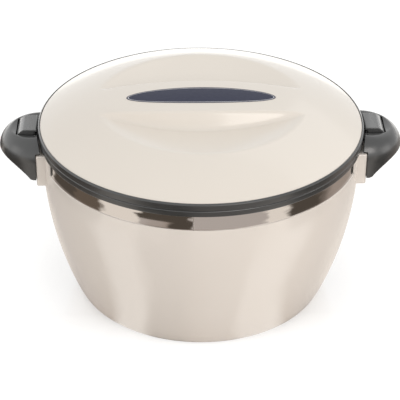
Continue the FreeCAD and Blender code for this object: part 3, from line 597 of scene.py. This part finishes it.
def rim_collar():
    lip = band_high.z
    top = collar_high.z
    ledge = top - COLLAR_LEDGE
    web = ledge - COLLAR_WEB
    skirt = BODY_RADIUS - SHELL_WALL - PART_GAP
    flange = bowl_high.x + PART_GAP
    path = rounded_path([
        (COLLAR_INNER, web), (skirt - COLLAR_SKIRT, web, 0.5 * MM), (skirt - COLLAR_SKIRT, collar_low.z),
        (skirt, collar_low.z, 0.4 * MM), (skirt, lip, 0.5 * MM), (collar_high.y, lip, 1.0 * MM),
        (collar_high.y, top, 1.1 * MM), (flange, top, 0.25 * MM), (flange, ledge),
        (COLLAR_INNER, ledge, 0.3 * MM),
    ], steps=6)
    lathe("collar", path, DARK, "casserole", replaced=("rim_collar",), slot="dark_plastic")


def inner_bowl():
    top, floor = bowl_high.z, bowl_low.z + BOWL_SHEET
    outside, under = BOWL_RADIUS + BOWL_SHEET, top - BOWL_SHEET
    path = rounded_path([
        (0.0, floor - BOWL_SHEET), (outside, floor - BOWL_SHEET, BOWL_ROUND + BOWL_SHEET),
        (outside, under, 0.8 * MM), (bowl_high.x, under, 0.2 * MM), (bowl_high.x, top, 0.2 * MM),
        (BOWL_RADIUS, top, 1.6 * MM), (BOWL_RADIUS, floor, BOWL_ROUND), (0.0, floor),
    ], steps=12, closed=False)
    lathe("bowl", path, BRUSHED, "casserole", replaced=("inner_bowl",), slot="bowl_steel")


# The lid

def smooth_least(a, b, width):
    """The smaller of two heights, with a blend of a width where they meet."""
    gap = np.maximum(width - np.abs(a - b), 0) / width
    return np.minimum(a, b) - gap * gap * width / 4


def smooth_most(a, b, width):
    return -smooth_least(-a, -b, width)


KNEE_ANGLE = math.asin(CROWN_REACH / CROWN_CURVE)
BEND_OUT = (CROWN_CURVE - BEND_CURVE) * math.sin(KNEE_ANGLE)
BEND_LEVEL = ring_high.z - COVER_DROP - math.sqrt(BEND_CURVE ** 2 - (cover_high.y - BEND_OUT) ** 2)
CROWN_LEVEL = BEND_LEVEL - (CROWN_CURVE - BEND_CURVE) * math.cos(KNEE_ANGLE)
DOME_TOP = CROWN_LEVEL + CROWN_CURVE
SCOOP_BOTTOM = DOME_TOP - SCOOP_DEPTH


def dome_height(radius):
    """Height of the dome without scoops: the flat crown, then the rounder bend."""
    crown = CROWN_LEVEL + np.sqrt(CROWN_CURVE ** 2 - np.minimum(radius, CROWN_REACH) ** 2)
    bend = BEND_LEVEL + np.sqrt(BEND_CURVE ** 2 - (np.maximum(radius, CROWN_REACH) - BEND_OUT) ** 2)
    return np.where(radius < CROWN_REACH, crown, bend)


def lid_height(x, y):
    """Height of the cover: the dome, with a scoop on each side of the grip ridge."""
    radius = np.hypot(x, y)
    dome = dome_height(radius)
    scoop = SCOOP_BOTTOM + SCOOP_CURVE - np.sqrt(SCOOP_CURVE ** 2 - radius ** 2)
    slope = RIDGE_FLARE / SCOOP_DEPTH
    offset = RIDGE_CURVE - RIDGE_HALF_WIDTH
    ridge = DOME_TOP - (np.hypot(x, np.abs(y) + offset) - RIDGE_CURVE) / slope
    hollow = smooth_most(scoop, ridge, 5 * MM)
    on_wall = np.clip((ridge - scoop) / (4 * MM), 0, 1)
    return smooth_least(dome, hollow, (1.1 + 1.9 * on_wall) * MM)


def lid_cover():
    edge = cover_high.y
    base = cover_low.z
    scooped = np.linspace(3 * MM, 96 * MM, 170)
    plain = np.linspace(97 * MM, edge - 1.0 * MM, 26)
    radii = np.concatenate(([0.0], scooped, plain))
    angles = np.linspace(0, FULL_TURN, 481)[:-1]
    count = len(angles)
    points = [(0.0, 0.0, float(lid_height(np.array(0.0), np.array(0.0))))]
    for radius in radii[1:]:
        x, y = radius * np.cos(angles), radius * np.sin(angles)
        points += list(zip(x, y, lid_height(x, y)))
    rim_top = float(dome_height(np.array(edge)))
    rim = [(edge - 0.5 * MM, rim_top + 0.22 * MM), (edge - 0.2 * MM, rim_top + 0.02 * MM),
           (edge - 0.05 * MM, rim_top - 0.2 * MM), (edge, rim_top - 0.5 * MM), (edge, base),
           (edge - 3 * MM, base)]
    for radius, level in rim:
        points += list(zip(radius * np.cos(angles), radius * np.sin(angles), np.full(count, level)))
    rings = len(radii) - 1 + len(rim)
    faces = [(0, 1 + i, 1 + (i + 1) % count) for i in range(count)]
    faces += ring_quads(rings, count, first=1, flip=True)
    last = 1 + (rings - 1) * count
    faces.append(tuple(last + i for i in reversed(range(count))))
    mesh_piece("lid_top", points, faces, LID_CREAM, "lid", replaced=("lid_cover",),
               slot="cream_plastic", sharp=60)


def lid_ring():
    low, high, outer = ring_low.z, ring_high.z, ring_high.y
    seat = cover_high.y + PART_GAP
    web = high - RING_WEB
    wall = outer - RING_WALL
    path = rounded_path([
        (RING_INNER, web - RING_WEB), (wall, web - RING_WEB, 0.4 * MM), (wall, low, 0.4 * MM),
        (outer, low, 0.7 * MM), (outer, high - 1.2 * MM, 0.7 * MM), (outer - 1.2 * MM, high, 0.5 * MM),
        (seat, high, 0.1 * MM), (seat, web), (RING_INNER, web),
    ], steps=6)
    lathe("lid_rim", path, DARK, "lid", segments=288, replaced=("lid_ring",), slot="dark_plastic")


def lid_liner():
    low, high = liner_low.z, liner_high.z
    inside, under = LINER_RADIUS - LINER_SHEET, high - LINER_SHEET
    path = rounded_path([
        (0.0, low), (LINER_RADIUS, low, LINER_ROUND), (LINER_RADIUS, under, 0.3 * MM),
        (liner_high.x, under, 0.2 * MM), (liner_high.x, high, 0.2 * MM), (inside, high),
        (inside, low + LINER_SHEET, LINER_ROUND - LINER_SHEET), (0.0, low + LINER_SHEET),
    ], steps=8, closed=False)
    lathe("liner", path, BRUSHED, "lid", replaced=("lid_liner",), slot="bowl_steel")


def gasket():
    low, high, outer = seal_low.z, seal_high.z, seal_high.y
    path = rounded_path([
        (SEAL_INNER, low, 0.6 * MM), (outer, low, 0.6 * MM), (outer, high), (SEAL_INNER, high),
    ], steps=5)
    lathe("seal", path, SILICONE, "lid", replaced=("lid_gasket",), slot="silicone")


def badge():
    """A bare oval enamel plate with a raised dark edge and a thin silver line inside it."""
    long_half, short_half = badge_high.x, BADGE_HALF_WIDTH
    rim_width = 0.75 * MM
    count = 160
    angles = np.linspace(0, FULL_TURN, count + 1)[:-1]

    def ring_points(inset, lift):
        x, y = (long_half - inset) * np.cos(angles), (short_half - inset) * np.sin(angles)
        return list(zip(x, y, dome_height(np.hypot(x, y)) + lift))

    rims = [(0.0, -0.8 * MM), (0.0, BADGE_PROUD * 0.5), (0.12 * MM, BADGE_PROUD * 0.85),
            (0.3 * MM, BADGE_PROUD), (rim_width - 0.15 * MM, BADGE_PROUD), (rim_width, BADGE_PROUD * 0.6),
            (rim_width, -0.8 * MM)]
    line_top = BADGE_PROUD * 0.39 + 0.05 * MM
    line = [(1.1 * MM, 0.0), (1.1 * MM, line_top - 0.02 * MM), (1.25 * MM, line_top), (1.55 * MM, line_top),
            (1.7 * MM, line_top - 0.02 * MM), (1.7 * MM, 0.0)]
    for name, section, material, slot, replaced in (
            ("badge_rim", rims, NAVY, "navy_badge", ("badge_plate",)),
            ("badge_line", line, SILVER, "bright_steel", ())):
        points = []
        for inset, lift in section:
            points += ring_points(inset, lift)
        faces = ring_quads(len(section), count, closed=True)
        mesh_piece(name, points, faces, material, "lid", replaced=replaced, slot=slot)
    points = []
    rows = 24
    for row in range(rows, 0, -1):
        share = row / rows
        x = (long_half - rim_width) * share * np.cos(angles)
        y = (short_half - rim_width) * share * np.sin(angles)
        crown = BADGE_PROUD * (0.35 + 0.5 * (1 - share ** 2))
        points += list(zip(x, y, dome_height(np.hypot(x, y)) + crown))
    points.append((0, 0, float(dome_height(np.array(0.0))) + BADGE_PROUD * 0.85))
    faces = ring_quads(rows, count)
    last = (rows - 1) * count
    faces += [(last + i, last + (i + 1) % count, len(points) - 1) for i in range(count)]
    mesh_piece("badge_enamel", points, faces, NAVY, "lid", slot="navy_badge")


# Handles and latches

def softened(node, name, material, body):
    """A copy of a CAD handle remeshed into small cells and smoothed, least round its latch."""
    piece = bpy.data.objects.new(name, frame["nodes"][node].data.copy())
    bpy.context.scene.collection.objects.link(piece)
    remesh = piece.modifiers.new("cells", "REMESH")
    remesh.mode = "VOXEL"
    remesh.voxel_size = HANDLE_CELL
    mesh = evaluated_mesh(piece)
    piece.data = mesh
    place = np.empty(len(mesh.vertices) * 3)
    mesh.vertices.foreach_get("co", place)
    x, y, z = np.abs(place.reshape(-1, 3)).T
    outside = np.maximum(x - RECESS_END, y - RECESS_HALF_WIDTH)
    far = np.clip((outside - RECESS_MARGIN) / CREST_FADE, 0, 1)
    upper = np.clip((z - CREST_LEVEL) / CREST_FADE, 0, 1)
    upper = upper * np.clip((x - CREST_START) / CREST_FADE, 0, 1)
    weights = {"everywhere": np.ones_like(x), "crest": far * upper}
    for label, rounds in (("everywhere", 3), ("crest", 45)):
        group = piece.vertex_groups.new(name=label)
        for index in np.nonzero(weights[label] > 0.02)[0]:
            group.add([int(index)], float(weights[label][index]), "REPLACE")
        smooth = piece.modifiers.new(label, "SMOOTH")
        smooth.factor = 0.5
        smooth.iterations = rounds
        smooth.vertex_group = label
    smoothed = evaluated_mesh(piece)
    piece.vertex_groups.clear()
    piece.data = smoothed
    smoothed.materials.clear()
    smoothed.materials.append(material)
    smoothed.shade_smooth()
    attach(piece, body)
    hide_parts(node)


def latch(side):
    """Rocker latch: its side view extruded, with rounded edges."""
    name = "right" if side > 0 else "left"
    pin_x, pin_z = (pin_low.x + pin_high.x) / 2, (pin_low.z + pin_high.z) / 2
    top = latch_high.z
    nose = latch_low.x
    toe = LATCH_SHOULDER / 4
    under = top - LATCH_PLATE
    turns = np.linspace(math.pi * 1.1, math.pi * 1.9, 9)
    outline = [(nose, under), (LATCH_BARREL_START, under), (pin_x - LATCH_BARREL, pin_z)]
    outline += [(pin_x + LATCH_BARREL * math.cos(a), pin_z + LATCH_BARREL * math.sin(a)) for a in turns]
    outline += [(pin_x + LATCH_BARREL, pin_z), (LATCH_OUTER - toe, top - LATCH_SHOULDER - toe),
                (LATCH_OUTER, top - LATCH_SHOULDER)]
    flat_end = (LATCH_OUTER - LATCH_SHOULDER - 0.7 * MM, top)
    outline += [tuple(p) for p in arc_path(outline[-1], flat_end, LATCH_SHOULDER * 3, 10)]
    outline += [flat_end, (nose + 1.2 * MM, top), (nose, top - 1.2 * MM)]
    half = latch_high.y
    points = [(x, y, z) for y in (-half, half) for x, z in outline]
    count = len(outline)
    faces = [tuple(range(count)), tuple(reversed(range(count, 2 * count)))]
    faces += [(i, count + i, count + (i + 1) % count, (i + 1) % count) for i in range(count)]
    piece = mesh_piece("latch_" + name + "_lever", on_side(points, side), faces, LATCH,
                       name + "_latch", replaced=("latch_" + name,), slot="dark_plastic")
    bevel = piece.modifiers.new("edges", "BEVEL")
    bevel.width = 0.7 * MM
    bevel.segments = 4
    bevel.limit_method = "ANGLE"
    bevel.angle_limit = math.radians(40)


# The stage

def camera():
    e, a, r = CAMERA_ELEVATION, CAMERA_AZIMUTH, CAMERA_ROLL
    ahead = Vector((math.cos(e) * math.sin(a), math.cos(e) * math.cos(a), -math.sin(e)))
    right = Vector((math.cos(a), -math.sin(a), 0.0))
    up = right.cross(ahead)
    rolled_right = right * math.cos(r) + up * math.sin(r)
    rolled_up = up * math.cos(r) - right * math.sin(r)
    data = bpy.data.cameras.new("camera")
    data.lens = FOCAL_PIXELS / PICTURE_PIXELS * data.sensor_width
    data.shift_x = -CENTRE_OFFSET_PIXELS / PICTURE_PIXELS
    data.clip_end = 50
    view = bpy.data.objects.new("camera", data)
    place = Vector((0, 0, CAMERA_TARGET_HEIGHT)) - ahead * CAMERA_DISTANCE
    turn = Matrix((rolled_right, rolled_up, -ahead)).transposed().to_4x4()
    view.matrix_world = Matrix.Translation(place) @ turn
    bpy.context.scene.collection.objects.link(view)
    bpy.context.scene.camera = view


def softbox(name, place, size, power, color=(1, 1, 1)):
    data = bpy.data.lights.new(name, "AREA")
    data.shape = "RECTANGLE"
    data.size, data.size_y = size
    data.energy = power
    data.color = color
    lamp = bpy.data.objects.new(name, data)
    lamp.location = place
    lamp.rotation_euler = (Vector((0, 0, 0.08)) - Vector(place)).to_track_quat("-Z", "Y").to_euler()
    bpy.context.scene.collection.objects.link(lamp)


def world():
    """Even studio light, white to the camera. Reflections see it brighter on the left and low down."""
    sky = bpy.data.worlds.new("studio")
    sky.use_nodes = True
    bpy.context.scene.world = sky
    tree = sky.node_tree
    light = tree.nodes["Background"]
    light.inputs["Color"].default_value = (1.0, 1.0, 0.985, 1)
    light.inputs["Strength"].default_value = SKY_STRENGTH
    white = tree.nodes.new("ShaderNodeBackground")
    white.inputs["Color"].default_value = (1, 1, 1, 1)
    white.inputs["Strength"].default_value = 1.0
    mirrored = tree.nodes.new("ShaderNodeBackground")
    x, _, z = split_axes(tree, tree.nodes.new("ShaderNodeTexCoord").outputs["Generated"])
    across = mapped(tree, x, (-0.9, 0.9), (1.2, 0.85))
    horizon = mapped(tree, z, (0.0, 0.5), (1.3, 1.0))
    tree.links.new(calculated(tree, "MULTIPLY", across, horizon), mirrored.inputs["Strength"])
    path = tree.nodes.new("ShaderNodeLightPath")
    lit = mixed_shader(tree, path.outputs["Is Glossy Ray"], light.outputs[0], mirrored.outputs[0])
    seen = mixed_shader(tree, path.outputs["Is Camera Ray"], lit, white.outputs[0])
    tree.links.new(seen, tree.nodes["World Output"].inputs["Surface"])


def floor():
    """White floor that keeps the shadow. In reflections it glows with painted dark and light sectors in
    place of a room.
    """
    mesh = bpy.data.meshes.new("floor")
    corners = [(x * FLOOR_SIZE, y * FLOOR_SIZE, 0) for x, y in ((-1, -1), (1, -1), (1, 1), (-1, 1))]
    mesh.from_pydata(corners, [], [(0, 1, 2, 3)])
    piece = bpy.data.objects.new("floor", mesh)
    bpy.context.scene.collection.objects.link(piece)
    material = bpy.data.materials.new("floor")
    material.use_nodes = True
    tree = material.node_tree
    # What other rays meet: a plain pale floor
    shader = tree.nodes["Principled BSDF"]
    shader.inputs["Base Color"].default_value = (0.9, 0.89, 0.87, 1)
    shader.inputs["Roughness"].default_value = 0.8
    shader.inputs["Specular IOR Level"].default_value = 0.0
    # What the camera sees: a glowing matt floor, faintly polished near the base
    matt = tree.nodes.new("ShaderNodeBsdfDiffuse")
    matt.inputs["Color"].default_value = (0.42, 0.42, 0.42, 1)
    glow = tree.nodes.new("ShaderNodeEmission")
    glow.inputs["Strength"].default_value = FLOOR_GLOW
    add = tree.nodes.new("ShaderNodeAddShader")
    tree.links.new(matt.outputs[0], add.inputs[0])
    tree.links.new(glow.outputs[0], add.inputs[1])
    polish = tree.nodes.new("ShaderNodeBsdfGlossy")
    polish.inputs["Roughness"].default_value = 0.14
    place = tree.nodes.new("ShaderNodeNewGeometry").outputs["Position"]
    y = split_axes(tree, place)[1]
    fade = mapped(tree, distance_to_origin(tree, place), (0.10, 0.165), (FLOOR_POLISH, 0.0))
    polished = calculated(tree, "MULTIPLY", fade, mapped(tree, y, (-0.11, -0.06)))
    shine = mixed_shader(tree, polished, add.outputs[0], polish.outputs[0])
    # What gloss reflects: painted reflections, glowing dark and light sectors that only glossy rays see
    reflection_glow = tree.nodes.new("ShaderNodeEmission")
    tree.links.new(painted_reflection_colors(tree), reflection_glow.inputs["Color"])
    path = tree.nodes.new("ShaderNodeLightPath")
    seen = mixed_shader(tree, path.outputs["Is Camera Ray"], shader.outputs[0], shine)
    reflection_mix = mixed_shader(tree, path.outputs["Is Glossy Ray"], seen, reflection_glow.outputs[0])
    tree.links.new(reflection_mix, tree.nodes["Material Output"].inputs["Surface"])
    piece.data.materials.append(material)


def sectors(tree, turn, stops):
    """Colours round Z from stops of degrees and a colour; 0 is the front and 90 the right."""
    ramp = tree.nodes.new("ShaderNodeValToRGB")
    band = ramp.color_ramp
    while len(band.elements) < len(stops):
        band.elements.new(0.5)
    for element, (degrees, color) in zip(band.elements, stops):
        element.position = (degrees + 180) / 360
        element.color = (*color, 1)
    tree.links.new(turn, ramp.inputs["Fac"])
    return ramp.outputs["Color"]


def painted_reflection_colors(tree):
    """Painted reflections: dark and light glowing sectors round Z, by the angle and the distance from the
    origin.
    """
    dark, brown, light = (0.085, 0.07, 0.057), (0.135, 0.105, 0.082), (0.86, 0.79, 0.72)
    grey, dusk, bright = (0.50, 0.45, 0.42), (0.37, 0.31, 0.27), (1.15, 1.13, 1.1)
    white, shade = (1.0, 0.95, 0.9), (0.13, 0.11, 0.095)
    left_side = [(-146, dark), (-120, dark), (-116, light), (-112, light), (-108, dark), (-86, dark),
                 (-83, brown), (-64, brown), (-61, light), (-39, light)]
    right_side = [(-6.2, dark), (-5.8, grey), (36, grey), (38, light), (50, light), (54, dark), (74, dark),
                  (88, dusk), (104, dusk)]
    far = [(-180, bright), (-152, bright), *left_side, (-37, dark), *right_side,
           (110, grey), (130, grey), (138, bright), (180, bright)]
    near = [(-180, light), (-150, light), *left_side, (-37, grey), (-20, dusk), (-17, dark), *right_side,
            (130, grey), (180, light)]
    low = [(-180, light), (-140, light), (-112, grey), (-66, dusk), (-55, white), (-36, white),
           (-26, shade), (-8, shade), (6, dusk), (20, grey), (33, grey), (42, white), (68, white),
           (80, dusk), (105, grey), (140, light), (180, light)]

    place = tree.nodes.new("ShaderNodeNewGeometry").outputs["Position"]
    x, y, _ = split_axes(tree, place)
    noise = tree.nodes.new("ShaderNodeTexNoise")
    noise.inputs["Scale"].default_value = 22.0
    noise.inputs["Detail"].default_value = 3.0
    tree.links.new(place, noise.inputs["Vector"])
    angle = calculated(tree, "ARCTAN2", x, calculated(tree, "MULTIPLY", y, -1.0))
    ragged = calculated(tree, "MULTIPLY_ADD", noise.outputs["Fac"], math.radians(14), angle)
    middle = math.radians(7)
    turn = mapped(tree, ragged, (-math.pi + middle, math.pi + middle))
    distance = distance_to_origin(tree, place)
    widening = mapped(tree, distance, (0.11, 0.25), (1.6, 1.0))
    low_turn = mapped(tree, calculated(tree, "MULTIPLY", ragged, widening), (-math.pi, math.pi))
    outer = mixed_color(tree, mapped(tree, distance, (0.344, 0.341)),
                        sectors(tree, turn, far), sectors(tree, turn, near))
    whole = mixed_color(tree, mapped(tree, distance, (0.27, 0.29)),
                        sectors(tree, low_turn, low), outer)
    # Painted reflection: behind the object the floor glows brighter than white for glossy rays
    behind = mapped(tree, y, (0.5, 0.9))
    return mixed_color(tree, behind, whole, (1.7, 1.67, 1.62, 1))


bpy.context.scene.view_settings.view_transform = "Standard"
camera()
world()
floor()
softbox("key_light", (0.9, -1.9, 1.3), (1.3, 1.1), 13, (1.0, 0.95, 0.92))
softbox("left_light", (-1.8, -0.5, 0.7), (0.9, 0.9), 1.5, (1.0, 0.97, 0.94))
softbox("right_light", (1.8, -0.5, 0.5), (0.9, 0.9), 2.5, (1.0, 0.97, 0.94))
softbox("rear_light", (1.1, 1.3, 1.7), (1.8, 1.4), 3)

outer_shell()
for side in (1, -1):
    pad_and_shoulder(side)
    latch(side)
steel_bands()
rim_collar()
inner_bowl()
lid_cover()
lid_ring()
lid_liner()
gasket()
badge()
for side in ("right", "left"):
    softened("handle_" + side, "handle_" + side + "_grip", DARK, "casserole")
for node, material in (("base_plug", CREAM), ("body_insulation", FOAM), ("lid_insulation", FOAM),
                       ("handle_screws_left", STEEL), ("handle_screws_right", STEEL),
                       ("latch_pin_left", STEEL), ("latch_pin_right", STEEL)):
    for slot in frame["nodes"][node].material_slots:
        slot.material = material
